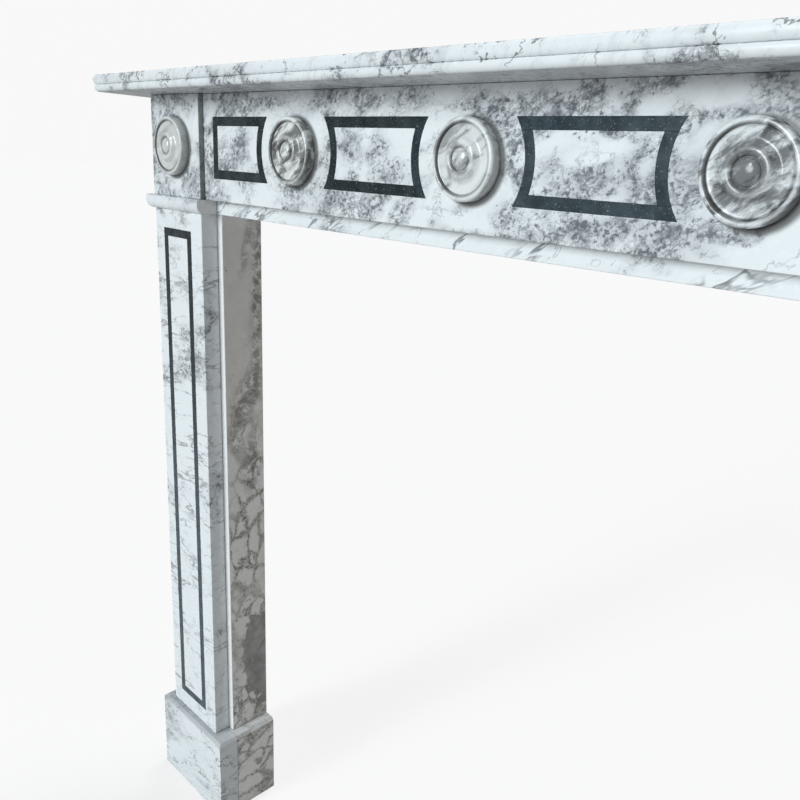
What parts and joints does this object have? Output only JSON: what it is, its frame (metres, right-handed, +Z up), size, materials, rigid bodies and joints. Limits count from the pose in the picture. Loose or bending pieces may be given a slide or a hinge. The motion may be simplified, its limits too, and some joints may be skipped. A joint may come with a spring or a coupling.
{
  "type": "fireplace mantel",
  "caption": "Marble fireplace surround with a moulded shelf, turned roundels on the frieze and blocks, and dark inlaid frames let into the frieze and legs.",
  "frame": {"origin": "on the floor, at the middle of the overall width and depth", "axes": "+Z up, +Y towards the wall, +X to the right of someone who faces the mantel"},
  "size_m": [1.7046, 0.14, 1.1633],
  "materials": {
    "white_marble": "honed to a satin polish, bluish white with grey veins and clouds",
    "grey_marble": "polished, warm grey with swirls",
    "dark_marble": "polished, green-black with fine pale specks"
  },
  "bodies": {
    "root": {"shelf": "white_marble", "frieze": "white_marble", "lintel_band": "white_marble", "end_block_left": "white_marble", "end_block_right": "white_marble", "cap_left": "white_marble", "cap_right": "white_marble", "pilaster_left": "white_marble", "pilaster_right": "white_marble", "jamb_left": "white_marble", "jamb_right": "white_marble", "plinth_front_left": "white_marble", "plinth_front_right": "white_marble", "plinth_rear_left": "white_marble", "plinth_rear_right": "white_marble", "roundel_1": "grey_marble", "roundel_2": "grey_marble", "roundel_3": "grey_marble", "roundel_4": "grey_marble", "roundel_5": "grey_marble", "roundel_6": "grey_marble", "inlay_panel_1_top": "dark_marble", "inlay_panel_1_bottom": "dark_marble", "inlay_panel_1_left": "dark_marble", "inlay_panel_1_right": "dark_marble", "inlay_panel_2_top": "dark_marble", "inlay_panel_2_bottom": "dark_marble", "inlay_panel_2_left": "dark_marble", "inlay_panel_2_right": "dark_marble", "inlay_panel_3_top": "dark_marble", "inlay_panel_3_bottom": "dark_marble", "inlay_panel_3_left": "dark_marble", "inlay_panel_3_right": "dark_marble", "inlay_panel_4_top": "dark_marble", "inlay_panel_4_bottom": "dark_marble", "inlay_panel_4_left": "dark_marble", "inlay_panel_4_right": "dark_marble", "inlay_panel_5_top": "dark_marble", "inlay_panel_5_bottom": "dark_marble", "inlay_panel_5_left": "dark_marble", "inlay_panel_5_right": "dark_marble", "inlay_leg_left_top": "dark_marble", "inlay_leg_left_bottom": "dark_marble", "inlay_leg_left_left": "dark_marble", "inlay_leg_left_right": "dark_marble", "inlay_leg_right_top": "dark_marble", "inlay_leg_right_bottom": "dark_marble", "inlay_leg_right_left": "dark_marble", "inlay_leg_right_right": "dark_marble"}
  },
  "joints": []
}
